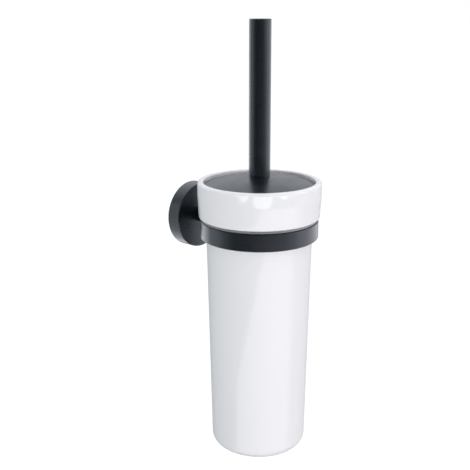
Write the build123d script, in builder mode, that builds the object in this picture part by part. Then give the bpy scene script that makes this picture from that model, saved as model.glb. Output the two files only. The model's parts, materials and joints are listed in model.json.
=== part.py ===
from build123d import *
from math import sqrt
import os

# Wall-mounted toilet brush set: a glazed container hangs by its collar in a ring on the
# wall, and the brush stands in it, held by a lid that rests just inside the mouth.
#
# Frame, in millimetres: the wall is the plane y = 0, the set reaches towards -Y, +Z is up,
# and the origin is the centre of the rosette's back.

# ---------------------------------------------------------------- driving dimensions

WALL_TO_AXIS = 80.0  # wall to the container's axis

# wall fixing
ROSETTE_R = 29.0
ROSETTE_DEPTH = 13.0
ROSETTE_SIDE = 4.5  # side wall
ROSETTE_FRONT = 4.0  # front wall
ROSETTE_EDGE = 0.9
PLATE_R = 24.0
PLATE_DEPTH = 7.5
SCREW_SPACING = 30.0  # wall screws, one above the other
WALL_SCREW_HOLE_R = 2.6
WALL_SCREW_HEAD_R = 4.9
SINK_ANGLE = 90.0  # of every countersunk head
GROOVE_FROM_WALL = 4.5
GROOVE_DEPTH = 1.5
SET_SCREW_R = 2.0
SET_SCREW_SINK = 0.4  # below the rosette's side
SET_SCREW_POINT = 1.6
SET_SCREW_TIP_GAP = 0.5  # point to the groove's bottom
SET_SCREW_SOCKET_R = 1.15
SET_SCREW_SOCKET = 2.4  # depth

# arm
ARM_R = 6.3
ARM_SEAT = 1.0  # how far the arm stands in the rosette
ARM_SCREW_R = 2.5
ARM_SCREW_HEAD_R = 4.6
ARM_SCREW_LENGTH = 10.0
ARM_SCREW_SOCKET_R = 1.7
ARM_SCREW_SOCKET = 2.0  # depth
ARM_SCREW_SINK = 0.3  # ring screw's head below the ring's bore
ARM_TAPPING = 11.2  # depth of the tapped holes, from the screw's head face

# ring and its liner
RING_R = 50.0
RING_BORE_R = 46.5
RING_HEIGHT = 14.7
RING_EDGE = 0.7
GASKET_BORE_R = 45.6
GASKET_FLANGE_R = 49.4
GASKET_FLANGE = 2.4
GASKET_SKIRT = 13.5
GASKET_LEAD_IN = 1.6
GASKET_EDGE_ROUND = 0.95

# container, radii of the outside unless they say otherwise
RIM_Z = 40.5
COLLAR_TOP_R = 52.2
COLLAR_BOTTOM_R = 51.1
BODY_TOP_R = 45.2
BODY_BOTTOM_R = 41.25
BODY_WALL = 4.6
CONTAINER_HEIGHT = 239.2
FLOOR = 6.0
BOTTOM_ROUND = 8.5
FLOOR_ROUND = 8.0
RIM_OUTER_ROUND = 2.3
RIM_INNER_ROUND = 1.5
COLLAR_EDGE_ROUND = 1.6
NECK_ROUND = 1.2
MOUTH_R = 46.9
MOUTH_FOOT_R = 46.4
LEDGE_R = 44.4
LEDGE_BELOW_RIM = 6.0
LEDGE_ROUND = 0.8
THROAT_DROP = 18.0  # ledge to the start of the inner shoulder
THROAT_SLOPE = 12.0  # height of the inner shoulder
SHOULDER_ROUND = 6.0

# lid
LID_R = 46.0
LID_DOME_R = 138.0  # sphere that the dome is part of
LID_LAND_R = 9.3
LID_LAND_ABOVE_RIM = 4.3
LID_THICKNESS = 1.5
LID_EDGE_ROUND = 0.5
LID_RING_WIDTH = 1.6
LID_RING_INSET = 0.4

# handle
HANDLE_R = 9.0
HANDLE_WALL = 1.2
HANDLE_LENGTH = 126.3  # with its cap
CAP_HEAD = 2.0
CAP_SPIGOT = 10.0
CAP_SPIGOT_WALL = 2.5
CAP_BEVEL = 0.5
INSERT_LENGTH = 16.0
INSERT_CHAMFER = 0.8

# rod and what it clamps
ROD_R = 4.0
ROD_CHAMFER = 0.8
ROD_TOP_IN_HANDLE = 13.0
ROD_BELOW_INSERT = 3.0
WASHER_R = 9.2
WASHER_THICKNESS = 1.5
NUT_ACROSS_FLATS = 13.0
NUT_HEIGHT = 4.0
NUT_CORNER_R = 6.8  # its corners are turned to this radius

# brush head
HEAD_ABOVE_FLOOR = 18.0
HEAD_LENGTH = 91.0
HEAD_INSERT_R = 6.0
HEAD_INSERT_LENGTH = 14.0
HEAD_INSERT_CHAMFER = 0.6
CORE_R = 11.5
CORE_NECK_R = 8.6
CORE_NECK = 8.0
CORE_ABOVE_TIP = 15.0  # core's lower end to the lowest bristle tip
CORE_END_ROUND = 4.0
ROD_PASSAGE = 19.0  # free depth under the head insert
ROD_PASSAGE_GAP = 0.4
BRISTLE_R = 34.0
BRISTLE_BARREL = 3.0  # how much shorter the outermost rows are
ROWS = 8
TUFTS_PER_ROW = 14
ROW_PITCH = 8.4
FIRST_ROW_UP = 1.0  # above the core's rounded end
TUFT_ROOT_R = 1.7
TUFT_TIP_R = 3.0
ROOT_BAND = 1.1
END_RINGS = ((5.4, 9, 38.0), (1.4, 4, 10.0))  # root radius, tufts, lean from straight down
END_TUFT_LENGTH = 14.4
END_TUFT_SCALE = 0.8  # thickness, against a side tuft
END_DISC = 1.2

# clearances
THREAD_GAP = 0.04
TURNING_GAP = 0.06
FIT_GAP = 0.02
LOOSE_GAP = 0.2
CUT_MARGIN = 1.0  # how far a cutting shape runs past what it cuts

# ---------------------------------------------------------------- levels worked out

AXIS_Y = -WALL_TO_AXIS
UPRIGHT = Axis((0, AXIS_Y, 0), (0, 0, 1))
SECTION = Plane(origin=(0, AXIS_Y, 0), x_dir=(1, 0, 0), z_dir=(0, -1, 0))

RING_TOP_Z = RING_HEIGHT / 2
COLLAR_Z = RING_TOP_Z + GASKET_FLANGE  # underside of the collar
BOTTOM_Z = RIM_Z - CONTAINER_HEIGHT
FLOOR_Z = BOTTOM_Z + FLOOR
LEDGE_Z = RIM_Z - LEDGE_BELOW_RIM
LID_TOP_Z = RIM_Z + LID_LAND_ABOVE_RIM
LID_DROP = sqrt(LID_DOME_R**2 - LID_LAND_R**2) - sqrt(LID_DOME_R**2 - LID_R**2)
LID_EDGE_Z = LID_TOP_Z - LID_DROP
LID_UNDER_Z = LID_TOP_Z - LID_THICKNESS
WASHER_Z = LID_UNDER_Z - WASHER_THICKNESS
NUT_Z = WASHER_Z - NUT_HEIGHT
HANDLE_TOP_Z = LID_TOP_Z + HANDLE_LENGTH
CAP_SEAM_Z = HANDLE_TOP_Z - CAP_HEAD
HANDLE_BORE_R = HANDLE_R - HANDLE_WALL
HEAD_TIP_Z = FLOOR_Z + HEAD_ABOVE_FLOOR
HEAD_TOP_Z = HEAD_TIP_Z + HEAD_LENGTH
CORE_END_Z = HEAD_TIP_Z + CORE_ABOVE_TIP
HEAD_INSERT_Z = HEAD_TOP_Z - HEAD_INSERT_LENGTH
ROD_END_Z = HEAD_INSERT_Z - ROD_BELOW_INSERT
FIRST_ROW_Z = CORE_END_Z + CORE_END_ROUND + FIRST_ROW_UP


def level(z):
    """Horizontal plane at height z, centred on the container's axis."""
    return Plane((0, AXIS_Y, z))


def from_wall(distance):
    """Plane parallel to the wall, with its normal away from the wall."""
    return Plane.XZ.offset(distance)


def body_radius(z):
    """Outer radius of the container's tapered body at height z."""
    up = (z - BOTTOM_Z) / (COLLAR_Z - BOTTOM_Z)
    return BODY_BOTTOM_R + (BODY_TOP_R - BODY_BOTTOM_R) * up


def corner_at(face, x, z):
    """The face's corner nearest to radius x and height z."""
    return face.vertices().sort_by(lambda v: (v.X - x) ** 2 + (v.Y - z) ** 2)[0]


# ---------------------------------------------------------------- wall mount

# Plate: a turned disc with a V groove round its edge for the set screw's point.
with BuildPart() as wall_plate:
    with BuildSketch(Plane.XY):
        with BuildLine():
            Polyline(
                (0, 0),
                (PLATE_R, 0),
                (PLATE_R, -GROOVE_FROM_WALL + GROOVE_DEPTH),
                (PLATE_R - GROOVE_DEPTH, -GROOVE_FROM_WALL),
                (PLATE_R, -GROOVE_FROM_WALL - GROOVE_DEPTH),
                (PLATE_R, -PLATE_DEPTH),
                (0, -PLATE_DEPTH),
                close=True,
            )
        make_face()
    revolve(axis=Axis.Y)
    with Locations(from_wall(PLATE_DEPTH)):
        with GridLocations(0, SCREW_SPACING, 1, 2):
            CounterSinkHole(WALL_SCREW_HOLE_R, WALL_SCREW_HEAD_R, counter_sink_angle=SINK_ANGLE)

# Rosette: a cup over the plate, with a seat for the arm and a tapped hole below.
rosette_bore_r = ROSETTE_R - ROSETTE_SIDE
rosette_inner_face = ROSETTE_DEPTH - ROSETTE_FRONT
arm_seat_face = ROSETTE_DEPTH - ARM_SEAT
with BuildPart() as rosette:
    with BuildSketch(from_wall(0)):
        Circle(ROSETTE_R)
    extrude(amount=ROSETTE_DEPTH)
    fillet(rosette.edges().sort_by(Axis.Y)[0], ROSETTE_EDGE)
    with BuildSketch(from_wall(0)):
        Circle(rosette_bore_r)
    extrude(amount=rosette_inner_face, mode=Mode.SUBTRACT)
    with BuildSketch(from_wall(arm_seat_face)):
        Circle(ARM_R + FIT_GAP)
    extrude(amount=ARM_SEAT, mode=Mode.SUBTRACT)
    with Locations(Plane(origin=(0, -rosette_inner_face, 0), z_dir=(0, 1, 0))):
        CounterSinkHole(
            ARM_SCREW_R + LOOSE_GAP,
            ARM_SCREW_HEAD_R + LOOSE_GAP,
            depth=ROSETTE_FRONT,
            counter_sink_angle=SINK_ANGLE,
        )
    with BuildSketch(Plane((0, -GROOVE_FROM_WALL, -ROSETTE_R))):
        Circle(SET_SCREW_R + THREAD_GAP)
    extrude(amount=ROSETTE_R - rosette_bore_r + LOOSE_GAP, mode=Mode.SUBTRACT)

# Set screw: cone point up into the groove, hexagon socket below.
set_screw_z = -ROSETTE_R + SET_SCREW_SINK
set_screw_tip_z = -PLATE_R + GROOVE_DEPTH - SET_SCREW_TIP_GAP
with BuildPart() as rosette_set_screw:
    with BuildSketch(Plane((0, -GROOVE_FROM_WALL, set_screw_z))):
        Circle(SET_SCREW_R)
    extrude(amount=set_screw_tip_z - set_screw_z)
    chamfer(rosette_set_screw.edges().sort_by(Axis.Z)[-1], SET_SCREW_POINT)
    with BuildSketch(Plane((0, -GROOVE_FROM_WALL, set_screw_z))):
        RegularPolygon(radius=SET_SCREW_SOCKET_R, side_count=6)
    extrude(amount=SET_SCREW_SOCKET, mode=Mode.SUBTRACT)

# Arm: a round bar, coped to the ring at one end and tapped at both.
ring_screw_face = WALL_TO_AXIS - RING_BORE_R - ARM_SCREW_SINK  # from the wall
with BuildPart() as arm:
    with BuildSketch(from_wall(arm_seat_face)):
        Circle(ARM_R)
    extrude(amount=WALL_TO_AXIS - arm_seat_face)
    with BuildSketch(level(-ARM_R - CUT_MARGIN)):
        Circle(RING_R + FIT_GAP)
    extrude(amount=2 * (ARM_R + CUT_MARGIN), mode=Mode.SUBTRACT)
    with BuildSketch(from_wall(arm_seat_face)):
        Circle(ARM_SCREW_R + THREAD_GAP)
    extrude(amount=rosette_inner_face + ARM_TAPPING - arm_seat_face, mode=Mode.SUBTRACT)
    with BuildSketch(from_wall(ring_screw_face)):
        Circle(ARM_SCREW_R + THREAD_GAP)
    extrude(amount=-ARM_TAPPING, mode=Mode.SUBTRACT)

# Two countersunk screws on the arm's axis: one through the rosette, one through the ring.
with BuildPart() as arm_screws:
    for face, inward in ((rosette_inner_face, 1), (ring_screw_face, -1)):
        head_plane = Plane(origin=(0, -face, 0), z_dir=(0, -inward, 0))
        with BuildSketch(head_plane):
            Circle(ARM_SCREW_R)
        extrude(amount=ARM_SCREW_LENGTH)
        with BuildSketch(head_plane):
            Circle(ARM_SCREW_HEAD_R)
        extrude(amount=ARM_SCREW_HEAD_R - ARM_SCREW_R, taper=45)
        with BuildSketch(head_plane):
            RegularPolygon(radius=ARM_SCREW_SOCKET_R, side_count=6)
        extrude(amount=ARM_SCREW_SOCKET, mode=Mode.SUBTRACT)

# Ring: a plain band with softened edges and a countersunk hole at the back.
with BuildPart() as ring:
    with BuildSketch(level(-RING_TOP_Z)):
        Circle(RING_R)
        Circle(RING_BORE_R, mode=Mode.SUBTRACT)
    extrude(amount=RING_HEIGHT)
    fillet(ring.edges().filter_by(GeomType.CIRCLE).group_by(SortBy.RADIUS)[-1], RING_EDGE)
    with Locations(Plane(origin=(0, -ring_screw_face, 0), z_dir=(0, -1, 0))):
        CounterSinkHole(
            ARM_SCREW_R + LOOSE_GAP,
            ARM_SCREW_HEAD_R + LOOSE_GAP,
            depth=RING_R - RING_BORE_R + CUT_MARGIN,
            counter_sink_angle=SINK_ANGLE,
        )

# Gasket: a skirt that lines the ring's bore and a flange that carries the collar.
with BuildPart() as ring_gasket:
    with BuildSketch(SECTION):
        with BuildLine():
            Polyline(
                (GASKET_BORE_R, COLLAR_Z - GASKET_LEAD_IN),
                (GASKET_BORE_R + GASKET_LEAD_IN, COLLAR_Z),
                (GASKET_FLANGE_R, COLLAR_Z),
                (GASKET_FLANGE_R, RING_TOP_Z),
                (RING_BORE_R - FIT_GAP, RING_TOP_Z),
                (RING_BORE_R - FIT_GAP, RING_TOP_Z - GASKET_SKIRT),
                (GASKET_BORE_R, RING_TOP_Z - GASKET_SKIRT),
                close=True,
            )
        gasket_face = make_face()
        fillet(gasket_face.vertices().group_by(Axis.X)[-1], GASKET_EDGE_ROUND)
    revolve(axis=UPRIGHT)

# ---------------------------------------------------------------- container

# Container: one wall of revolution, drawn as its half section. The lid's ledge, the inner
# shoulder and the floor are on the inside; the collar and the tapered body are outside.
throat_z = LEDGE_Z - THROAT_DROP
shoulder_z = throat_z - THROAT_SLOPE
with BuildPart() as container:
    with BuildSketch(SECTION):
        with BuildLine():
            Polyline(
                (0, BOTTOM_Z),
                (BODY_BOTTOM_R, BOTTOM_Z),
                (BODY_TOP_R, COLLAR_Z),
                (COLLAR_BOTTOM_R, COLLAR_Z),
                (COLLAR_TOP_R, RIM_Z),
                (MOUTH_R, RIM_Z),
                (MOUTH_FOOT_R, LEDGE_Z),
                (LEDGE_R, LEDGE_Z),
                (LEDGE_R, throat_z),
                (body_radius(shoulder_z) - BODY_WALL, shoulder_z),
                (body_radius(FLOOR_Z) - BODY_WALL, FLOOR_Z),
                (0, FLOOR_Z),
                close=True,
            )
        wall_section = make_face()
        fillet(corner_at(wall_section, BODY_BOTTOM_R, BOTTOM_Z), BOTTOM_ROUND)
        fillet(corner_at(wall_section, body_radius(FLOOR_Z) - BODY_WALL, FLOOR_Z), FLOOR_ROUND)
        fillet(corner_at(wall_section, BODY_TOP_R, COLLAR_Z), NECK_ROUND)
        fillet(corner_at(wall_section, COLLAR_BOTTOM_R, COLLAR_Z), COLLAR_EDGE_ROUND)
        fillet(corner_at(wall_section, COLLAR_TOP_R, RIM_Z), RIM_OUTER_ROUND)
        fillet(corner_at(wall_section, MOUTH_R, RIM_Z), RIM_INNER_ROUND)
        fillet(corner_at(wall_section, LEDGE_R, LEDGE_Z), LEDGE_ROUND)
        fillet(corner_at(wall_section, LEDGE_R, throat_z), SHOULDER_ROUND)
        fillet(corner_at(wall_section, body_radius(shoulder_z) - BODY_WALL, shoulder_z), SHOULDER_ROUND)
    revolve(axis=UPRIGHT)

# ---------------------------------------------------------------- brush

# Lid: a shallow dome of even thickness, with a flat land for the handle and a flat edge.
lid_seat_z = LID_EDGE_Z - LID_THICKNESS
edge_inner_r = LID_R - 2 * LID_RING_WIDTH
with BuildPart() as lid:
    with BuildSketch(SECTION):
        with BuildLine():
            Line((ROD_R + LOOSE_GAP, LID_UNDER_Z), (ROD_R + LOOSE_GAP, LID_TOP_Z))
            Line((ROD_R + LOOSE_GAP, LID_TOP_Z), (LID_LAND_R, LID_TOP_Z))
            RadiusArc((LID_LAND_R, LID_TOP_Z), (LID_R, LID_EDGE_Z), LID_DOME_R)
            Line((LID_R, LID_EDGE_Z), (LID_R, lid_seat_z))
            Line((LID_R, lid_seat_z), (edge_inner_r, lid_seat_z))
            RadiusArc((edge_inner_r, lid_seat_z), (LID_LAND_R, LID_UNDER_Z), -LID_DOME_R)
            Line((LID_LAND_R, LID_UNDER_Z), (ROD_R + LOOSE_GAP, LID_UNDER_Z))
        lid_face = make_face()
        fillet(lid_face.vertices().group_by(Axis.X)[-1], LID_EDGE_ROUND)
    revolve(axis=UPRIGHT)

# Ring under the lid's edge: soft, so that the lid doesn't ring on the glaze.
with BuildPart() as lid_ring:
    with BuildSketch(level(LEDGE_Z)):
        Circle(LID_R - LID_RING_INSET)
        Circle(LID_R - LID_RING_INSET - LID_RING_WIDTH, mode=Mode.SUBTRACT)
    extrude(amount=lid_seat_z - LEDGE_Z)

# Handle: tube, end cap with a bevelled head, and the tapped plug that holds the rod.
with BuildPart() as handle_tube:
    with BuildSketch(level(LID_TOP_Z)):
        Circle(HANDLE_R)
        Circle(HANDLE_BORE_R, mode=Mode.SUBTRACT)
    extrude(amount=CAP_SEAM_Z - LID_TOP_Z)

with BuildPart() as handle_cap:
    with BuildSketch(level(CAP_SEAM_Z)):
        Circle(HANDLE_R)
    extrude(amount=CAP_HEAD)
    chamfer(handle_cap.edges().group_by(Axis.Z)[-1], CAP_BEVEL)
    with BuildSketch(level(CAP_SEAM_Z)):
        Circle(HANDLE_BORE_R - FIT_GAP)
        Circle(HANDLE_BORE_R - CAP_SPIGOT_WALL, mode=Mode.SUBTRACT)
    extrude(amount=-CAP_SPIGOT)

with BuildPart() as handle_insert:
    with BuildSketch(level(LID_TOP_Z)):
        Circle(HANDLE_BORE_R - FIT_GAP)
        Circle(ROD_R + THREAD_GAP, mode=Mode.SUBTRACT)
    extrude(amount=INSERT_LENGTH)
    chamfer(handle_insert.edges().group_by(Axis.Z)[-1].sort_by(SortBy.LENGTH)[-1], INSERT_CHAMFER)

# Rod: threaded at both ends, from inside the handle to inside the brush head.
with BuildPart() as rod:
    with BuildSketch(level(ROD_END_Z)):
        Circle(ROD_R)
    extrude(amount=LID_TOP_Z + ROD_TOP_IN_HANDLE - ROD_END_Z)
    chamfer(rod.edges().filter_by(GeomType.CIRCLE), ROD_CHAMFER)

with BuildPart() as lid_washer:
    with BuildSketch(level(WASHER_Z)):
        Circle(WASHER_R)
        Circle(ROD_R + LOOSE_GAP, mode=Mode.SUBTRACT)
    extrude(amount=WASHER_THICKNESS)

# Nut: hexagon with its corners turned off.
with BuildPart() as lid_nut:
    with BuildSketch(level(NUT_Z)):
        RegularPolygon(radius=NUT_ACROSS_FLATS / 2, side_count=6, major_radius=False)
        Circle(ROD_R + THREAD_GAP, mode=Mode.SUBTRACT)
    extrude(amount=NUT_HEIGHT)
    with BuildSketch(level(NUT_Z)):
        Circle(NUT_CORNER_R)
    extrude(amount=NUT_HEIGHT, mode=Mode.INTERSECT)

# ---------------------------------------------------------------- brush head

# Insert: the brass thread that the rod screws into.
with BuildPart() as head_insert:
    with BuildSketch(level(HEAD_INSERT_Z)):
        Circle(HEAD_INSERT_R)
        Circle(ROD_R + TURNING_GAP, mode=Mode.SUBTRACT)
    extrude(amount=HEAD_INSERT_LENGTH)
    foot_edges = head_insert.edges().group_by(Axis.Z)[0]
    chamfer(foot_edges.sort_by(SortBy.LENGTH)[-1], HEAD_INSERT_CHAMFER)

# Core: a moulded plug with a tapered neck, the insert's seat and a passage for the rod.
with BuildPart() as head_core:
    with BuildSketch(SECTION):
        with BuildLine():
            Polyline(
                (0, CORE_END_Z),
                (CORE_R, CORE_END_Z),
                (CORE_R, HEAD_TOP_Z - CORE_NECK),
                (CORE_NECK_R, HEAD_TOP_Z),
                (HEAD_INSERT_R + TURNING_GAP, HEAD_TOP_Z),
                (HEAD_INSERT_R + TURNING_GAP, HEAD_INSERT_Z - LOOSE_GAP),
                (ROD_R + ROD_PASSAGE_GAP, HEAD_INSERT_Z - LOOSE_GAP),
                (ROD_R + ROD_PASSAGE_GAP, HEAD_INSERT_Z - ROD_PASSAGE),
                (0, HEAD_INSERT_Z - ROD_PASSAGE),
                close=True,
            )
        core_face = make_face()
        fillet(core_face.vertices().sort_by(lambda v: v.Y - v.X)[0], CORE_END_ROUND)
    revolve(axis=UPRIGHT)

# Side bristles: rows of tufts, each row joined at its roots and turned half a pitch
# against the next. The tips make a slightly barrelled outline.
root_r = CORE_R + FIT_GAP
with BuildPart() as side_bristles:
    for row in range(ROWS):
        row_z = FIRST_ROW_Z + row * ROW_PITCH
        along = 2 * row / (ROWS - 1) - 1
        tuft_length = BRISTLE_R - root_r - BRISTLE_BARREL * along**4
        with BuildSketch(level(row_z - TUFT_ROOT_R)):
            Circle(root_r + ROOT_BAND)
            Circle(root_r, mode=Mode.SUBTRACT)
        extrude(amount=2 * TUFT_ROOT_R)
        with Locations(level(row_z)):
            with PolarLocations(
                root_r + ROOT_BAND / 2,
                TUFTS_PER_ROW,
                start_angle=180 / TUFTS_PER_ROW * (row % 2),
            ):
                Cone(
                    TUFT_ROOT_R,
                    TUFT_TIP_R,
                    tuft_length - ROOT_BAND / 2,
                    rotation=(0, 90, 0),
                    align=(Align.CENTER, Align.CENTER, Align.MIN),
                )

# End bristles: two rings of tufts that spread from a disc under the core.
end_root_z = CORE_END_Z - FIT_GAP
with BuildPart() as end_bristles:
    with BuildSketch(level(end_root_z)):
        Circle(CORE_R - CORE_END_ROUND)
    extrude(amount=-END_DISC)
    for root_radius, tufts, lean in END_RINGS:
        with Locations(level(end_root_z)):
            with PolarLocations(root_radius, tufts):
                Cone(
                    TUFT_ROOT_R * END_TUFT_SCALE,
                    TUFT_TIP_R * END_TUFT_SCALE,
                    END_TUFT_LENGTH,
                    rotation=(0, 180 - lean, 0),
                    align=(Align.CENTER, Align.CENTER, Align.MIN),
                )
    with BuildSketch(level(end_root_z)):
        Circle(BRISTLE_R)
    extrude(amount=CORE_END_ROUND + CUT_MARGIN, mode=Mode.SUBTRACT)

# ---------------------------------------------------------------- export

NODES = {
    "wall_plate": wall_plate,
    "rosette": rosette,
    "rosette_set_screw": rosette_set_screw,
    "arm": arm,
    "arm_screws": arm_screws,
    "ring": ring,
    "ring_gasket": ring_gasket,
    "container": container,
    "lid": lid,
    "lid_ring": lid_ring,
    "handle_tube": handle_tube,
    "handle_cap": handle_cap,
    "handle_insert": handle_insert,
    "rod": rod,
    "lid_washer": lid_washer,
    "lid_nut": lid_nut,
    "head_insert": head_insert,
    "head_core": head_core,
    "side_bristles": side_bristles,
    "end_bristles": end_bristles,
}

os.makedirs("parts", exist_ok=True)
for node, builder in NODES.items():
    builder.part.label = node
    export_step(builder.part, f"parts/{node}.step")
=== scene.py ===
import json
import math
import random

import bpy
from mathutils import Matrix, Vector


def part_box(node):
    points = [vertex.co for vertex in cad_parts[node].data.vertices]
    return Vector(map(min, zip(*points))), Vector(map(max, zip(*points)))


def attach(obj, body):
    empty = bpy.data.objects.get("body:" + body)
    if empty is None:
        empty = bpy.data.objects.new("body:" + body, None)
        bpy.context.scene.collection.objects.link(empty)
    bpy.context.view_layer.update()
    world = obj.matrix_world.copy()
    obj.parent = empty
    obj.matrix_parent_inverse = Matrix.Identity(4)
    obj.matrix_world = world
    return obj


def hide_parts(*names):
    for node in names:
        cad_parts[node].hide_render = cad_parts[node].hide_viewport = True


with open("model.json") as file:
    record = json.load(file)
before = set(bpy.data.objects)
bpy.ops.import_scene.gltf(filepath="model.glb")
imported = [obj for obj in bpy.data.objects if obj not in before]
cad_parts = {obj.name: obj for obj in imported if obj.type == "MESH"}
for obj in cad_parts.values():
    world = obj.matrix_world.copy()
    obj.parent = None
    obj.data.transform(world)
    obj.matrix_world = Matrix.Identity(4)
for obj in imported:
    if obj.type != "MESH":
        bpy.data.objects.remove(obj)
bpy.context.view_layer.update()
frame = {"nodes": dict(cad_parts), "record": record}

# Wall-mounted toilet brush set. Lengths are in metres, MM turns millimetres into them.

MM = 0.001
TAU = 2 * math.pi

# ---------------------------------------------------------------- places read from the frame

container_low, container_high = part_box("container")
AXIS_X = (container_low[0] + container_high[0]) / 2
AXIS_Y = (container_low[1] + container_high[1]) / 2
BOTTOM_Z = container_low[2]
RIM_Z = container_high[2]
COLLAR_TOP_R = (container_high[0] - container_low[0]) / 2
COLLAR_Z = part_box("ring_gasket")[1][2]

# ---------------------------------------------------------------- camera

CAMERA_PLACE = Vector((-0.5162, -0.4995, 0.1821))
CAMERA_AZIMUTH = math.radians(-49.13)
CAMERA_DOWN = math.radians(15.87)
CAMERA_ROLL = -0.0031
CAMERA_LENS = 62.17
SENSOR = 36.0
CLIP_START = 0.02

# level and into the picture, level and to its right, and straight up
TOWARDS = Vector((-math.sin(CAMERA_AZIMUTH), math.cos(CAMERA_AZIMUTH), 0))
RIGHTWARDS = Vector((TOWARDS.y, -TOWARDS.x, 0))
UPWARDS = Vector((0, 0, 1))


def add_camera():
    forward = TOWARDS * math.cos(CAMERA_DOWN) - UPWARDS * math.sin(CAMERA_DOWN)
    right = RIGHTWARDS.copy()
    up = right.cross(forward)
    c, s = math.cos(CAMERA_ROLL), math.sin(CAMERA_ROLL)
    right, up = c * right + s * up, c * up - s * right
    data = bpy.data.cameras.new("camera")
    data.lens = CAMERA_LENS
    data.sensor_width = SENSOR
    data.clip_start = CLIP_START
    camera = bpy.data.objects.new("camera", data)
    bpy.context.scene.collection.objects.link(camera)
    turn = Matrix((right, up, -forward)).transposed()
    camera.matrix_world = Matrix.Translation(CAMERA_PLACE) @ turn.to_4x4()
    bpy.context.scene.camera = camera


# ---------------------------------------------------------------- node helpers

COLOUR_INPUTS = (6, 7)  # of a Mix node, which has a set of sockets for each type
COLOUR_OUTPUT = 2
BEVEL_SAMPLES = 4
FLAT_COSINE = 0.995  # between the rounded and the true normal, where an edge begins
EDGE_COSINE = 0.9
NOISE_SPAN = (0.3, 0.7)  # where most values of a noise lie


def grey(value):
    return (value, value, value, 1)


class Nodes:
    """A node tree with short calls that add a node and link or set its inputs."""

    def __init__(self, tree):
        self.tree = tree

    def add(self, kind, settings=None, **inputs):
        node = self.tree.nodes.new(kind)
        for key, value in (settings or {}).items():
            setattr(node, key, value)
        for key, value in inputs.items():
            self.feed(node.inputs[key.replace("_", " ")], value)
        return node

    def feed(self, socket, value):
        if isinstance(value, bpy.types.NodeSocket):
            self.tree.links.new(value, socket)
        else:
            socket.default_value = value

    def maths(self, operation, first, second=0.0):
        """A Math node's result."""
        node = self.tree.nodes.new("ShaderNodeMath")
        node.operation = operation
        self.feed(node.inputs[0], first)
        self.feed(node.inputs[1], second)
        return node.outputs[0]

    def vector(self, operation, first, second):
        """A Vector Math node's result: a number for a dot product, else a vector."""
        node = self.tree.nodes.new("ShaderNodeVectorMath")
        node.operation = operation
        self.feed(node.inputs[0], first)
        self.feed(node.inputs[1], second)
        return node.outputs["Value" if operation == "DOT_PRODUCT" else "Vector"]

    def ramp(self, value, low, high, to_low=0.0, to_high=1.0, smooth=False):
        """value, mapped from low..high to to_low..to_high and clamped."""
        kind = "SMOOTHSTEP" if smooth else "LINEAR"
        node = self.add("ShaderNodeMapRange", {"interpolation_type": kind, "clamp": True})
        for name, given in zip(
            ("Value", "From Min", "From Max", "To Min", "To Max"),
            (value, low, high, to_low, to_high),
        ):
            self.feed(node.inputs[name], given)
        return node.outputs["Result"]

    def blend(self, share, first, second, mode="MIX"):
        """Colour first where share is 0 and second where it is 1."""
        node = self.tree.nodes.new("ShaderNodeMix")
        node.data_type = "RGBA"
        node.blend_type = mode
        self.feed(node.inputs["Factor"], share)
        for place, colour in zip(COLOUR_INPUTS, (first, second)):
            self.feed(node.inputs[place], colour)
        return node.outputs[COLOUR_OUTPUT]

    def noise(self, size, detail=3.0, stretch=None):
        """Noise whose features are about size metres; stretch scales the axes."""
        place = self.add("ShaderNodeTexCoord").outputs["Object"]
        if stretch:
            place = self.vector("MULTIPLY", place, stretch)
        node = self.add("ShaderNodeTexNoise", Vector=place, Scale=1 / size, Detail=detail)
        return node.outputs["Fac"]

    def specks(self, size, threshold):
        """1 in small spots about size metres apart, 0 elsewhere."""
        place = self.add("ShaderNodeTexCoord").outputs["Object"]
        cells = self.add("ShaderNodeTexVoronoi", Vector=place, Scale=1 / size)
        return self.ramp(cells.outputs["Distance"], threshold, threshold * 0.5)

    def height(self):
        """Height of the shaded point in the row frame."""
        place = self.add("ShaderNodeTexCoord").outputs["Object"]
        return self.add("ShaderNodeSeparateXYZ", Vector=place).outputs["Z"]

    def radius(self):
        """Distance of the shaded point from the container's axis."""
        place = self.add("ShaderNodeTexCoord").outputs["Object"]
        level = self.vector("MULTIPLY", place, (1, 1, 0))
        away = self.vector("SUBTRACT", level, (AXIS_X, AXIS_Y, 0))
        node = self.tree.nodes.new("ShaderNodeVectorMath")
        node.operation = "LENGTH"
        self.feed(node.inputs[0], away)
        return node.outputs["Value"]

    def edges(self, width):
        """1 on outer edges within about width metres, 0 on flat surfaces."""
        bevel = self.add("ShaderNodeBevel", {"samples": BEVEL_SAMPLES}, Radius=width)
        soft = bevel.outputs["Normal"]
        hard = self.add("ShaderNodeNewGeometry").outputs["Normal"]
        return self.ramp(self.vector("DOT_PRODUCT", soft, hard), FLAT_COSINE, EDGE_COSINE)

    def bump(self, height, depth, strength=1.0, under=None):
        """A normal raised by height up to depth metres, on top of the normal under."""
        node = self.add("ShaderNodeBump", Height=height, Distance=depth, Strength=strength)
        if under is not None:
            self.feed(node.inputs["Normal"], under)
        return node.outputs["Normal"]


def material(name, **constants):
    """A new material with one Principled shader: (material, nodes, shader)."""
    made = bpy.data.materials.new(name)
    made.use_nodes = True
    shader = made.node_tree.nodes["Principled BSDF"]
    for key, value in constants.items():
        shader.inputs[key.replace("_", " ")].default_value = value
    return made, Nodes(made.node_tree), shader


# ---------------------------------------------------------------- materials

TOOL_MARK = 0.02 * MM


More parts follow.
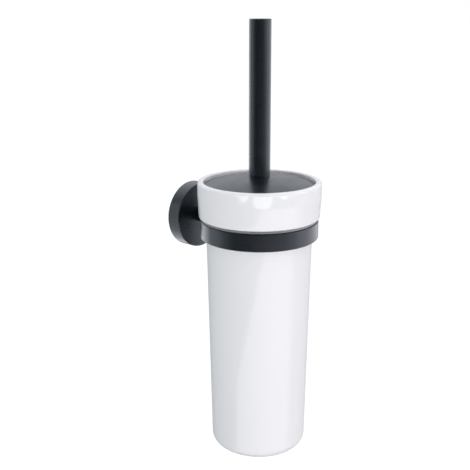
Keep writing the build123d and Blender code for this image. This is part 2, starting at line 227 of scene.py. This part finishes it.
def black_coat():
    """Satin black powder coat: fine orange peel, glossier patches, thin edges lightened partly as
    wear and partly as a painted highlight, dust.
    """
    made, n, shader = material(
        "black_coat",
        Specular_IOR_Level=0.55,
        Specular_Tint=(0.80, 0.91, 1.0, 1),
    )
    dark, light = (0.0062, 0.0084, 0.0102, 1), (0.0084, 0.0110, 0.0130, 1)
    worn_and_highlight, dusty = (0.035, 0.038, 0.042, 1), grey(0.11)
    cloud = n.noise(28 * MM, 4)
    peel = n.noise(0.8 * MM, 1)
    edge = n.maths("MULTIPLY", n.edges(0.45 * MM), n.ramp(n.noise(3 * MM), 0.42, 0.62))
    dust = n.maths("MULTIPLY", n.specks(9 * MM, 0.018), 0.25)
    colour = n.blend(cloud, dark, light)
    # the paler edge colour is partly real wear and partly a painted highlight along the edges
    colour = n.blend(n.maths("MULTIPLY", edge, 0.3), colour, worn_and_highlight)
    colour = n.blend(dust, colour, dusty)
    rough = n.ramp(n.noise(11 * MM, 5), *NOISE_SPAN, 0.25, 0.33)
    rough = n.maths("SUBTRACT", rough, n.maths("MULTIPLY", edge, 0.05))
    n.feed(shader.inputs["Base Color"], colour)
    n.feed(shader.inputs["Roughness"], rough)
    n.feed(shader.inputs["Normal"], n.bump(peel, 0.0025 * MM, 0.35))
    return made


def white_glaze():
    """Glossy white glaze over ceramic: gentle waves, rare pinholes, a bare foot ring."""
    made, n, shader = material("white_glaze", IOR=1.5)
    cool, cooler = (0.765, 0.774, 0.798, 1), (0.780, 0.786, 0.808, 1)
    thinned, pinned = (0.72, 0.71, 0.70, 1), (0.45, 0.44, 0.42, 1)
    bare_dark, bare_light = (0.62, 0.59, 0.54, 1), (0.72, 0.70, 0.66, 1)
    wave = n.noise(34 * MM, 1)
    ripple = n.noise(7 * MM, 2)
    pins = n.specks(13 * MM, 0.03)
    thin = n.edges(1.2 * MM)
    underside = n.ramp(n.height(), BOTTOM_Z + 3.0 * MM, BOTTOM_Z + 0.5 * MM)
    off_ring = n.maths("ABSOLUTE", n.maths("SUBTRACT", n.radius(), FOOT_R))
    ring = n.ramp(off_ring, FOOT_WIDTH * 0.6, FOOT_WIDTH * 0.45)
    foot = n.maths("MULTIPLY", underside, ring)
    body = n.blend(wave, cool, cooler)
    body = n.blend(n.maths("MULTIPLY", thin, 0.25), body, thinned)
    body = n.blend(n.maths("MULTIPLY", pins, 0.3), body, pinned)
    clay = n.blend(n.noise(1.2 * MM, 6), bare_dark, bare_light)
    n.feed(shader.inputs["Base Color"], n.blend(foot, body, clay))
    gloss = n.ramp(n.noise(18 * MM, 4), *NOISE_SPAN, 0.012, 0.032)
    n.feed(shader.inputs["Roughness"], n.ramp(foot, 0, 1, gloss, 0.85))
    lie = n.bump(wave, 0.20 * MM, 0.20)
    lie = n.bump(ripple, 0.012 * MM, 0.30, lie)
    n.feed(shader.inputs["Normal"], n.bump(pins, -0.05 * MM, 0.6, lie))
    return made


def clear_silicone():
    """Milky translucent silicone with a faint mould texture and lint."""
    made, n, shader = material(
        "clear_silicone",
        Subsurface_Weight=0.35,
        Subsurface_Scale=0.002,
        Subsurface_Radius=(1, 1, 1),
        IOR=1.41,
    )
    dark, light = (0.40, 0.42, 0.42, 1), (0.50, 0.52, 0.52, 1)
    colour = n.blend(n.noise(5 * MM, 4), dark, light)
    lint = n.maths("MULTIPLY", n.specks(3.2 * MM, 0.05), 0.4)
    n.feed(shader.inputs["Base Color"], n.blend(lint, colour, grey(0.2)))
    n.feed(shader.inputs["Roughness"], n.ramp(n.noise(2 * MM, 4), *NOISE_SPAN, 0.36, 0.5))
    n.feed(shader.inputs["Normal"], n.bump(n.noise(0.3 * MM, 2), 0.01 * MM, 0.5))
    return made


def turned_metal(name, dark, light, low, high):
    """Bare turned metal, low to high rough: level rings of tool marks and a mottled finish."""
    made, n, shader = material(name, Metallic=1.0)
    level = (0.02, 0.02, 1.0)
    marks = n.noise(0.22 * MM, 3, level)
    stain = n.noise(6 * MM, 5)
    colour = n.blend(stain, dark, light)
    colour = n.blend(n.maths("MULTIPLY", n.edges(0.3 * MM), 0.4), colour, light)
    rough = n.ramp(n.noise(3 * MM, 5), *NOISE_SPAN, low, high)
    n.feed(shader.inputs["Base Color"], colour)
    n.feed(shader.inputs["Roughness"], rough)
    n.feed(shader.inputs["Normal"], n.bump(marks, TOOL_MARK, 0.5))
    return made


def cast_zinc():
    """Die-cast zinc: dull, slightly frosted skin with brighter rubbed edges."""
    made, n, shader = material("cast_zinc", Metallic=1.0)
    dark, light = (0.30, 0.31, 0.33, 1), (0.46, 0.47, 0.48, 1)
    flow = n.noise(9 * MM, 6)
    colour = n.blend(flow, dark, light)
    colour = n.blend(n.maths("MULTIPLY", n.edges(0.5 * MM), 0.6), colour, grey(0.66))
    n.feed(shader.inputs["Base Color"], colour)
    n.feed(shader.inputs["Roughness"], n.ramp(flow, *NOISE_SPAN, 0.62, 0.42))
    n.feed(shader.inputs["Normal"], n.bump(n.noise(0.5 * MM, 4), 0.03 * MM, 0.7))
    return made


def black_rubber():
    """Black rubber with bloom."""
    made, n, shader = material("black_rubber", Specular_IOR_Level=0.3)
    bloom = n.ramp(n.noise(4 * MM, 6), 0.45, 0.75)
    colour = n.blend(bloom, grey(0.012), (0.035, 0.034, 0.033, 1))
    n.feed(shader.inputs["Base Color"], colour)
    n.feed(shader.inputs["Roughness"], n.ramp(bloom, 0, 1, 0.62, 0.85))
    n.feed(shader.inputs["Normal"], n.bump(n.noise(0.25 * MM, 3), 0.02 * MM, 0.6))
    return made


def head_plastic():
    """Moulded black plastic with spark-eroded grain and slightly shiny edges."""
    made, n, shader = material("head_plastic", Specular_IOR_Level=0.4)
    dark, light = (0.010, 0.0105, 0.011, 1), (0.018, 0.0185, 0.019, 1)
    colour = n.blend(n.noise(7 * MM, 4), dark, light)
    edge = n.edges(0.5 * MM)
    grain = n.ramp(n.noise(1.5 * MM), *NOISE_SPAN, 0.42, 0.55)
    n.feed(shader.inputs["Base Color"], colour)
    n.feed(shader.inputs["Roughness"], n.ramp(edge, 0, 1, grain, 0.3))
    n.feed(shader.inputs["Normal"], n.bump(n.noise(0.28 * MM, 2), 0.02 * MM, 0.6))
    return made


def nylon():
    """Black nylon bristle: each a little different, greyer towards the cut tip."""
    made, n, shader = material("nylon", Specular_IOR_Level=0.55)
    own = n.add("ShaderNodeAttribute", {"attribute_name": "shade"}).outputs["Fac"]
    tip = n.add("ShaderNodeAttribute", {"attribute_name": "along"}).outputs["Fac"]
    dark, light = (0.017, 0.0175, 0.0185, 1), (0.044, 0.045, 0.048, 1)
    colour = n.blend(own, dark, light)
    colour = n.blend(n.ramp(tip, 0.86, 1.0, 0, 0.45), colour, (0.09, 0.09, 0.095, 1))
    n.feed(shader.inputs["Base Color"], colour)
    n.feed(shader.inputs["Roughness"], n.ramp(own, 0, 1, 0.28, 0.42))
    n.feed(shader.inputs["Normal"], n.bump(n.noise(0.2 * MM, 2), 0.01 * MM, 0.4))
    return made


# ---------------------------------------------------------------- mesh helpers

ON_AXIS = 1e-7  # radii below this count as the axis
ARC_STEP = 0.3 * MM
ARC_STEPS_LEAST = 3
PROFILE_STEP = 4 * MM


def add_piece(name, points, faces, finish, body, nodes, smooth=True):
    """A mesh piece in the row frame that rides on body and stands for CAD nodes."""
    mesh = bpy.data.meshes.new(name)
    mesh.from_pydata(points, [], faces)
    mesh.validate()
    mesh.materials.append(finish)
    if smooth:
        mesh.shade_smooth()
    piece = bpy.data.objects.new(name, mesh)
    bpy.context.scene.collection.objects.link(piece)
    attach(piece, body)
    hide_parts(*nodes)
    return piece


def rounded(corners):
    """(radius, height) points along corners of (radius, height, rounding)."""
    line = [Vector(corners[0][:2])]
    for before, here, after in zip(corners, corners[1:], corners[2:]):
        corner = Vector(here[:2])
        back = (Vector(before[:2]) - corner).normalized()
        ahead = (Vector(after[:2]) - corner).normalized()
        half = back.angle(ahead) / 2
        reach = here[2] / math.tan(half)
        centre = corner + (back + ahead).normalized() * (here[2] / math.sin(half))
        first = corner + back * reach - centre
        sweep = first.angle_signed(corner + ahead * reach - centre)
        steps = max(ARC_STEPS_LEAST, math.ceil(abs(sweep) * here[2] / ARC_STEP))
        for i in range(steps + 1):
            turn = Matrix.Rotation(-sweep * i / steps, 2)
            line.append(centre + turn @ first)
    line.append(Vector(corners[-1][:2]))
    full = [line[0]]
    for start, end in zip(line, line[1:]):
        parts = max(1, math.ceil((end - start).length / PROFILE_STEP))
        full += [start.lerp(end, i / parts) for i in range(1, parts + 1)]
    return full


def lathe(profile, segments, shape=None):
    """Points and faces of profile turned about the container's axis; ends on it become fans.

    shape turns (radius, height, angle) into the radius and height of one point.
    """
    points, rings = [], []
    for radius, height in profile:
        if radius < ON_AXIS:
            rings.append([len(points)])
            points.append((AXIS_X, AXIS_Y, height))
            continue
        ring = []
        for i in range(segments):
            angle = TAU * i / segments
            r, z = shape(radius, height, angle) if shape else (radius, height)
            ring.append(len(points))
            points.append((AXIS_X + r * math.cos(angle), AXIS_Y + r * math.sin(angle), z))
        rings.append(ring)
    faces = []
    for low, high in zip(rings, rings[1:]):
        for i in range(segments):
            j = (i + 1) % segments
            if len(low) == 1:
                faces.append((low[0], high[j], high[i]))
            elif len(high) == 1:
                faces.append((low[i], low[j], high[0]))
            else:
                faces.append((low[i], low[j], high[j], high[i]))
    return points, faces


# ---------------------------------------------------------------- container

BODY_TOP_R = 45.2 * MM
BODY_BOTTOM_R = 41.25 * MM
BODY_WALL = 4.6 * MM
COLLAR_BOTTOM_R = 51.1 * MM
MOUTH_R = 46.9 * MM
MOUTH_FOOT_R = 46.4 * MM
LEDGE_R = 44.4 * MM
LEDGE_Z = RIM_Z - 6.0 * MM
THROAT_Z = LEDGE_Z - 18.0 * MM
SHOULDER_Z = THROAT_Z - 12.0 * MM
FLOOR_Z = BOTTOM_Z + 6.0 * MM
FOOT_R = 27.5 * MM
FOOT_WIDTH = 4.0 * MM
FOOT_RECESS = 0.8 * MM
FOOT_INNER_ROUND = 1.2 * MM
FOOT_ROUND = 0.8 * MM
BOTTOM_ROUND = 8.5 * MM
NECK_ROUND = 1.2 * MM
COLLAR_EDGE_ROUND = 1.6 * MM
CROWN_BELOW_RIM = 11.5 * MM
CROWN_ROUND = 60 * MM
RIM_DRAFT = 0.25 * MM  # how far the collar leans in from its crown to the rim
RIM_OUTER_ROUND = 2.5 * MM
RIM_INNER_ROUND = 1.5 * MM
LEDGE_CORNER_ROUND = 0.5 * MM
LEDGE_EDGE_ROUND = 0.8 * MM
SHOULDER_ROUND = 6.0 * MM
FLOOR_ROUND = 8.0 * MM
CONTAINER_SEGMENTS = 240


def body_radius(z):
    """Outer radius of the tapered body at height z."""
    up = (z - BOTTOM_Z) / (COLLAR_Z - BOTTOM_Z)
    return BODY_BOTTOM_R + (BODY_TOP_R - BODY_BOTTOM_R) * up


def add_container(glaze):
    """Cast and glazed container: the CAD section with a foot ring and a softly crowned collar."""
    crown_z = RIM_Z - CROWN_BELOW_RIM
    corners = [
        (0, BOTTOM_Z + FOOT_RECESS, 0),
        (FOOT_R - FOOT_WIDTH, BOTTOM_Z + FOOT_RECESS, FOOT_INNER_ROUND),
        (FOOT_R - FOOT_WIDTH / 2, BOTTOM_Z, FOOT_ROUND),
        (BODY_BOTTOM_R, BOTTOM_Z, BOTTOM_ROUND),
        (BODY_TOP_R, COLLAR_Z, NECK_ROUND),
        (COLLAR_BOTTOM_R, COLLAR_Z, COLLAR_EDGE_ROUND),
        (COLLAR_TOP_R, crown_z, CROWN_ROUND),
        (COLLAR_TOP_R - RIM_DRAFT, RIM_Z, RIM_OUTER_ROUND),
        (MOUTH_R, RIM_Z, RIM_INNER_ROUND),
        (MOUTH_FOOT_R, LEDGE_Z, LEDGE_CORNER_ROUND),
        (LEDGE_R, LEDGE_Z, LEDGE_EDGE_ROUND),
        (LEDGE_R, THROAT_Z, SHOULDER_ROUND),
        (body_radius(SHOULDER_Z) - BODY_WALL, SHOULDER_Z, SHOULDER_ROUND),
        (body_radius(FLOOR_Z) - BODY_WALL, FLOOR_Z, FLOOR_ROUND),
        (0, FLOOR_Z, 0),
    ]
    points, faces = lathe(rounded(corners), CONTAINER_SEGMENTS)
    return add_piece(
        "container_glazed", points, faces, glaze, "container", ["container"]
    )


# ---------------------------------------------------------------- rod and nut

THREAD_PITCH = 1.25 * MM
THREAD_DEPTH = 0.62 * MM
THREAD_LENGTH = 24 * MM
THREAD_RUNOUT = 2 * MM
LEVELS_PER_PITCH = 8
GROOVE_PEAK = 1.15  # depth at the groove's middle; it is cut off at 1, which leaves a flat
GROOVE_FALL = 2.6  # loss of depth per turn away from the middle
ROD_CHAMFER = 0.8 * MM
ROD_SEGMENTS = 48
NUT_BORE_R = 4.04 * MM
NUT_LEAD = 0.5 * MM
NUT_CHAMFER = 0.3 * MM
NUT_CONE = 1.7  # growth in radius per depth of the cone that cuts the corners
NUT_LEVELS = 16
NUT_SEGMENTS = 144


def add_rod(finish):
    """Plain rod with thread ridges at each end and chamfered ends."""
    low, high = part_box("rod")
    rod_r = (high[0] - low[0]) / 2
    step = THREAD_PITCH / LEVELS_PER_PITCH
    fine = math.ceil(THREAD_LENGTH / step)
    levels = [low[2] + i * step for i in range(fine + 1)]
    levels += [high[2] - i * step for i in range(fine, -1, -1)]

    def shape(radius, z, angle):
        if radius < rod_r:
            return radius, z
        from_end = min(z - low[2], high[2] - z)
        runout = min(1, max(0, (THREAD_LENGTH - from_end) / THREAD_RUNOUT))
        turn = (z / THREAD_PITCH - angle / TAU) % 1
        groove = min(1, max(0, GROOVE_PEAK - GROOVE_FALL * abs(turn - 0.5)))
        cut = THREAD_DEPTH * runout * groove
        return min(radius - cut, rod_r - ROD_CHAMFER + from_end), z

    profile = [(0, low[2])] + [(rod_r, z) for z in levels] + [(0, high[2])]
    points, faces = lathe(profile, ROD_SEGMENTS, shape)
    add_piece("rod_threaded", points, faces, finish, "brush", ["rod"])


def add_nut(finish):
    """Hexagon nut with its corners chamfered above and below."""
    low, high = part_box("lid_nut")
    flat_r = (high[1] - low[1]) / 2
    corner_r = (high[0] - low[0]) / 2
    middle = (low[2] + high[2]) / 2
    half = (high[2] - low[2]) / 2
    edge_r = flat_r - NUT_CHAMFER
    half_side = TAU / 12

    def shape(radius, z, angle):
        if radius < flat_r:
            return radius, z
        off_flat = (angle + half_side + TAU / 4) % (TAU / 6) - half_side
        from_face = half - abs(z - middle)
        cone = flat_r + (from_face - NUT_CHAMFER) * NUT_CONE
        chamfered = max(edge_r + from_face, cone)
        return min(flat_r / math.cos(off_flat), corner_r, chamfered), z

    levels = [low[2] + (high[2] - low[2]) * i / NUT_LEVELS for i in range(NUT_LEVELS + 1)]
    profile = [(NUT_BORE_R, low[2] + NUT_LEAD), (NUT_BORE_R + NUT_LEAD, low[2])]
    profile += [(edge_r, low[2])] + [(flat_r, z) for z in levels] + [(edge_r, high[2])]
    profile += [(NUT_BORE_R + NUT_LEAD, high[2]), (NUT_BORE_R, high[2] - NUT_LEAD)]
    profile.append((NUT_BORE_R, low[2] + NUT_LEAD))
    points, faces = lathe(profile, NUT_SEGMENTS, shape)
    add_piece(
        "lid_nut_chamfered", points, faces, finish, "brush", ["lid_nut"], smooth=False
    )


# ---------------------------------------------------------------- bristles

ROWS = 8
TUFTS_PER_ROW = 14
BRISTLES_PER_TUFT = 95
TUFT_ROOT_R = 1.5 * MM
TUFT_TIP_R = 4.1 * MM
CAD_TIP_R = 3.0 * MM
BARREL = 3.0 * MM
BRISTLE_THICK = 0.17 * MM
BRISTLE_SIDES = 4
BRISTLE_RINGS = 4
END_TUFTS = ((5.4 * MM, 9, 38.0), (1.4 * MM, 4, 10.0))  # root radius, tufts, lean in degrees
END_TUFT_LENGTH = 14.2 * MM
BRISTLE_TAPER = 0.25  # share of the thickness lost at the tip
BRISTLE_BOW = 0.35 * MM  # standard deviation
BARREL_POWER = 4  # how late the outer rows get shorter
SPREAD = (0.8, 1.0)  # shares of the full spread, length and trim radius
LENGTH = (0.985, 1.0)
TRIM = (0.988, 1.0)
TRIM_MOST = 0.05  # longest added length, as a share
STEEP = 0.9  # upward share of a direction that counts as upright
SEED = 7
DRAWS = random.Random(SEED)


def in_disc(radius):
    """A random place in a disc, as (along, across)."""
    r = radius * math.sqrt(DRAWS.random())
    angle = TAU * DRAWS.random()
    return r * math.cos(angle), r * math.sin(angle)


def sideways(way):
    """Two directions at right angles to way and to each other."""
    across = way.cross(UPWARDS if abs(way.z) < STEEP else RIGHTWARDS).normalized()
    return across, way.cross(across)


def add_bristle(points, faces, along, shade, start, end, side):
    """One tapered, slightly bowed bristle from start to end, bowed towards side."""
    way = (end - start).normalized()
    across, over = sideways(way)
    own = DRAWS.random()
    first = len(points)
    for ring in range(BRISTLE_RINGS):
        share = ring / (BRISTLE_RINGS - 1)
        middle = start.lerp(end, share) + side * (4 * share * (1 - share))
        thick = BRISTLE_THICK * (1 - BRISTLE_TAPER * share)
        for i in range(BRISTLE_SIDES):
            angle = TAU * i / BRISTLE_SIDES
            points.append(middle + (across * math.cos(angle) + over * math.sin(angle)) * thick)
            along.append(share)
            shade.append(own)
    for ring in range(BRISTLE_RINGS - 1):
        for i in range(BRISTLE_SIDES):
            j = (i + 1) % BRISTLE_SIDES
            a = first + ring * BRISTLE_SIDES
            faces.append((a + i, a + j, a + BRISTLE_SIDES + j, a + BRISTLE_SIDES + i))
    last = first + (BRISTLE_RINGS - 1) * BRISTLE_SIDES
    faces.append(tuple(last + i for i in range(BRISTLE_SIDES)))
    faces.append(tuple(first + i for i in reversed(range(BRISTLE_SIDES))))


def add_tufts(name, tufts, finish, node):
    """Tufts of loose bristles: each is (root, direction, length, trim radius or None)."""
    points, faces, along, shade = [], [], [], []
    axis = Vector((AXIS_X, AXIS_Y, 0))
    for root, way, length, trim in tufts:
        across, over = sideways(way)
        for _ in range(BRISTLES_PER_TUFT):
            a, b = in_disc(TUFT_ROOT_R)
            spread = TUFT_TIP_R / TUFT_ROOT_R * DRAWS.uniform(*SPREAD)
            start = root + across * a + over * b
            full = root + way * length * DRAWS.uniform(*LENGTH)
            tip = full + (across * a + over * b) * spread
            if trim:
                level = Vector((tip.x, tip.y, 0)) - axis
                keep = (trim * DRAWS.uniform(*TRIM) - level.length) / length
                tip = tip + (tip - start) * min(TRIM_MOST, keep)
            bow = across * DRAWS.gauss(0, BRISTLE_BOW)
            bow = bow + over * DRAWS.gauss(0, BRISTLE_BOW)
            add_bristle(points, faces, along, shade, start, tip, bow)
    piece = add_piece(
        name, points, faces, finish, "brush_head", [node], smooth=False
    )
    for title, values in (("along", along), ("shade", shade)):
        layer = piece.data.attributes.new(title, "FLOAT", "POINT")
        layer.data.foreach_set("value", values)


def add_brush_rows(finish):
    """Rows of tufts round the core, each row turned half a tuft against the last."""
    low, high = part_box("side_bristles")
    core_low, core_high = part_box("head_core")
    root_r = (core_high[0] - core_low[0]) / 2
    first_z, last_z = low[2] + CAD_TIP_R, high[2] - CAD_TIP_R
    outer_r = (high[0] - low[0]) / 2
    for row in range(ROWS):
        z = first_z + (last_z - first_z) * row / (ROWS - 1)
        trim = outer_r - BARREL * (2 * row / (ROWS - 1) - 1) ** BARREL_POWER
        tufts = []
        for tuft in range(TUFTS_PER_ROW):
            angle = TAU * (tuft + (row % 2) / 2) / TUFTS_PER_ROW
            way = Vector((math.cos(angle), math.sin(angle), 0))
            root = Vector((AXIS_X, AXIS_Y, z)) + way * root_r
            tufts.append((root, way, trim - root_r, trim))
        add_tufts(f"bristle_row_{row + 1}", tufts, finish, "side_bristles")


def add_brush_end(finish):
    """Tufts on the core's lower end, in rings that lean outwards."""
    root_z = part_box("head_core")[0][2]
    tufts = []
    for ring_r, count, lean in END_TUFTS:
        for tuft in range(count):
            angle = TAU * tuft / count
            level = Vector((math.cos(angle), math.sin(angle), 0))
            lean_angle = math.radians(lean)
            way = level * math.sin(lean_angle) - UPWARDS * math.cos(lean_angle)
            root = Vector((AXIS_X, AXIS_Y, root_z)) + level * ring_r
            tufts.append((root, way, END_TUFT_LENGTH, None))
    add_tufts("bristle_end", tufts, finish, "end_bristles")


# ---------------------------------------------------------------- lights, world and floor

SUBJECT_Z = 0.02
SUBJECT = Vector((AXIS_X, AXIS_Y, SUBJECT_Z))
LIGHT_DISTANCE = 1.6
FLOOR_LEVEL = -0.5
FLOOR_HALF = 30.0
FLOOR_CORNERS = ((-1, -1), (1, -1), (1, 1), (-1, 1))
FLOOR_GLOW = (0.34, 0.86)  # to everything else, and to the camera
ENERGY_FACTOR = 4  # an area light's radiance is its power over 4 times its area

# azimuth, elevation, width, height and radiance of the lights' highlights on the container
DISCS = {
    "disc_main": (4, -6.5, 35, 20, 2.0),
    "disc_left": (-30, -5, 22, 11, 2.3),
    "disc_right": (43, -5, 15, 9, 2.5),
}
# azimuth, width and radiance of the upright lights that the black parts reflect
STRIPS = (
    (-68, 16, 0.35),
    (-91, 26, 0.85),
    (-137, 46, 1.45),
    (43, 20, 0.09),
    (64, 18, 0.36),
    (86, 22, 1.15),
    (125, 52, 1.02),
)
STRIP_ELEVATION = -12
STRIP_HEIGHT = 76
COOL = (0.97, 0.985, 1.05)
WARM = (1.0, 0.975, 1.0)


def aim(azimuth, elevation):
    """Direction from the subject; azimuth 0 is towards the camera and grows to its right."""
    a, e = math.radians(azimuth), math.radians(elevation)
    level = -TOWARDS * math.cos(a) + RIGHTWARDS * math.sin(a)
    return level * math.cos(e) + UPWARDS * math.sin(e)


def add_light(
    name, azimuth, elevation, width, height, radiance, shape="RECTANGLE", tint=(1, 1, 1), only=()
):
    """A soft area light, width x height degrees as seen from the subject.

    Where only lists pieces, it lights nothing else.
    """
    data = bpy.data.lights.new(name, "AREA")
    data.shape = shape
    data.size = 2 * LIGHT_DISTANCE * math.tan(math.radians(width) / 2)
    data.size_y = 2 * LIGHT_DISTANCE * math.tan(math.radians(height) / 2)
    data.color = tint
    data.energy = ENERGY_FACTOR * data.size * data.size_y * radiance
    light = bpy.data.objects.new(name, data)
    bpy.context.scene.collection.objects.link(light)
    way = aim(azimuth, elevation)
    light.location = SUBJECT + way * LIGHT_DISTANCE
    light.rotation_euler = (-way).to_track_quat("-Z", "Y").to_euler()
    light.visible_camera = False
    if only:
        receivers = bpy.data.collections.new(name)
        for piece in only:
            receivers.objects.link(piece)
        light.light_linking.receiver_collection = receivers


def add_world():
    """White to the camera; for light and reflections, a studio that is dimmer on the left
    and in front, with a bright area low on the right and a bright sky behind."""
    left, right = (0.30, 0.345, 0.345, 1), (0.68, 0.64, 0.67, 1)
    low_area = (1.75, 1.62, 1.8, 1)
    horizon, zenith = (0.85, 0.88, 0.94, 1), (1.5, 1.53, 1.62, 1)
    front_dim = 0.45
    edge_slope, edge_start, edge_least = 6.5, 2.3, -0.72
    world = bpy.data.worlds.new("studio")
    bpy.context.scene.world = world
    world.use_nodes = True
    n = Nodes(world.node_tree)
    out = world.node_tree.nodes["World Output"]
    way = n.add("ShaderNodeTexCoord").outputs["Generated"]
    across = n.vector("DOT_PRODUCT", way, tuple(RIGHTWARDS))
    front = n.vector("DOT_PRODUCT", way, tuple(-TOWARDS))
    up = n.vector("DOT_PRODUCT", way, (0, 0, 1))
    sides = n.blend(n.ramp(across, -0.95, 0.75, smooth=True), left, right)
    dim = n.ramp(front, 0.1, 0.85, 1.0, front_dim, smooth=True)
    dimmed = n.add("ShaderNodeCombineXYZ", X=dim, Y=dim, Z=dim).outputs[0]
    shade = n.blend(1.0, sides, dimmed, "MULTIPLY")
    edge = n.maths("ADD", n.maths("MULTIPLY", up, edge_slope), edge_start)
    edge = n.maths("MAXIMUM", edge, edge_least)
    inside = n.ramp(n.maths("SUBTRACT", across, edge), 0.0, 0.025, smooth=True)
    inside = n.maths("MULTIPLY", inside, n.ramp(up, -0.27, -0.33, smooth=True))
    inside = n.maths("MULTIPLY", inside, n.ramp(front, 0.0, 0.4, smooth=True))
    lit = n.blend(inside, shade, low_area)
    behind = n.ramp(front, 0.1, -0.5, smooth=True)
    above = n.ramp(up, 0.0, 0.25, smooth=True)
    sky = n.blend(n.ramp(up, 0.2, 0.6), horizon, zenith)
    lit = n.blend(n.maths("MULTIPLY", behind, above), lit, sky)
    studio = n.add("ShaderNodeBackground", Color=lit, Strength=1.0)
    plain = n.add("ShaderNodeBackground", Color=(1, 1, 1, 1), Strength=1.0)
    seen = n.add("ShaderNodeLightPath").outputs["Is Camera Ray"]
    mix = n.add("ShaderNodeMixShader", Fac=seen)
    n.feed(mix.inputs[1], studio.outputs[0])
    n.feed(mix.inputs[2], plain.outputs[0])
    n.feed(out.inputs["Surface"], mix.outputs[0])


def add_floor():
    """Plain pale floor well below the set, left out of reflections.

    It shows brighter to the camera than the light that it gives to the set.
    """
    mesh = bpy.data.meshes.new("floor")
    corners = [(x * FLOOR_HALF, y * FLOOR_HALF, FLOOR_LEVEL) for x, y in FLOOR_CORNERS]
    mesh.from_pydata(corners, [], [(0, 1, 2, 3)])
    made, n, shader = material("floor_white", Roughness=0.9, Specular_IOR_Level=0.0)
    tone = n.blend(n.noise(0.6, 3), grey(0.24), grey(0.26))
    n.feed(shader.inputs["Base Color"], tone)
    shader.inputs["Emission Color"].default_value = (1, 1, 1, 1)
    seen = n.add("ShaderNodeLightPath").outputs["Is Camera Ray"]
    n.feed(shader.inputs["Emission Strength"], n.ramp(seen, 0, 1, *FLOOR_GLOW))
    mesh.materials.append(made)
    floor = bpy.data.objects.new("floor", mesh)
    bpy.context.scene.collection.objects.link(floor)
    floor.visible_glossy = False


# ---------------------------------------------------------------- scene

add_camera()

coat = black_coat()
glaze = white_glaze()
silicone = clear_silicone()
steel = turned_metal("steel", (0.42, 0.42, 0.43, 1), grey(0.62), 0.24, 0.4)
brass = turned_metal("brass", (0.50, 0.34, 0.13, 1), (0.78, 0.58, 0.27, 1), 0.22, 0.38)
zinc = cast_zinc()
rubber = black_rubber()
plastic = head_plastic()
bristle = nylon()

FINISHES = {
    "black_metal": coat,
    "zinc": zinc,
    "steel": steel,
    "ceramic": glaze,
    "clear_silicone": silicone,
    "black_rubber": rubber,
    "brass": brass,
    "head_plastic": plastic,
    "bristle": bristle,
}
for subpart in frame["record"]["subparts"]:
    finish = FINISHES[subpart["material_slot"]]
    for material_slot in frame["nodes"][subpart["node"]].material_slots:
        material_slot.material = finish

container = add_container(glaze)
add_rod(steel)
add_nut(steel)
add_brush_rows(bristle)
add_brush_end(bristle)
coated = [
    frame["nodes"][subpart["node"]]
    for subpart in frame["record"]["subparts"]
    if subpart["material_slot"] == "black_metal"
]  # the pieces that the strips light

add_world()
for name, (azimuth, elevation, width, height, radiance) in DISCS.items():
    add_light(name, azimuth, elevation, width, height, radiance, "ELLIPSE", only=[container])
for azimuth, width, radiance in STRIPS:
    name = f"strip_{azimuth}"
    add_light(name, azimuth, STRIP_ELEVATION, width, STRIP_HEIGHT, radiance, tint=COOL, only=coated)
add_light("fill_left", -38, 11, 70, 22, 1.52, only=[container])
add_light("fill_right", 56, 11, 70, 22, 1.33, tint=WARM, only=[container])
add_light("key", 62, 30, 46, 60, 0.5)
add_light("top", 160, 80, 60, 60, 0.3)
add_floor()
bpy.context.scene.view_settings.view_transform = "Standard"
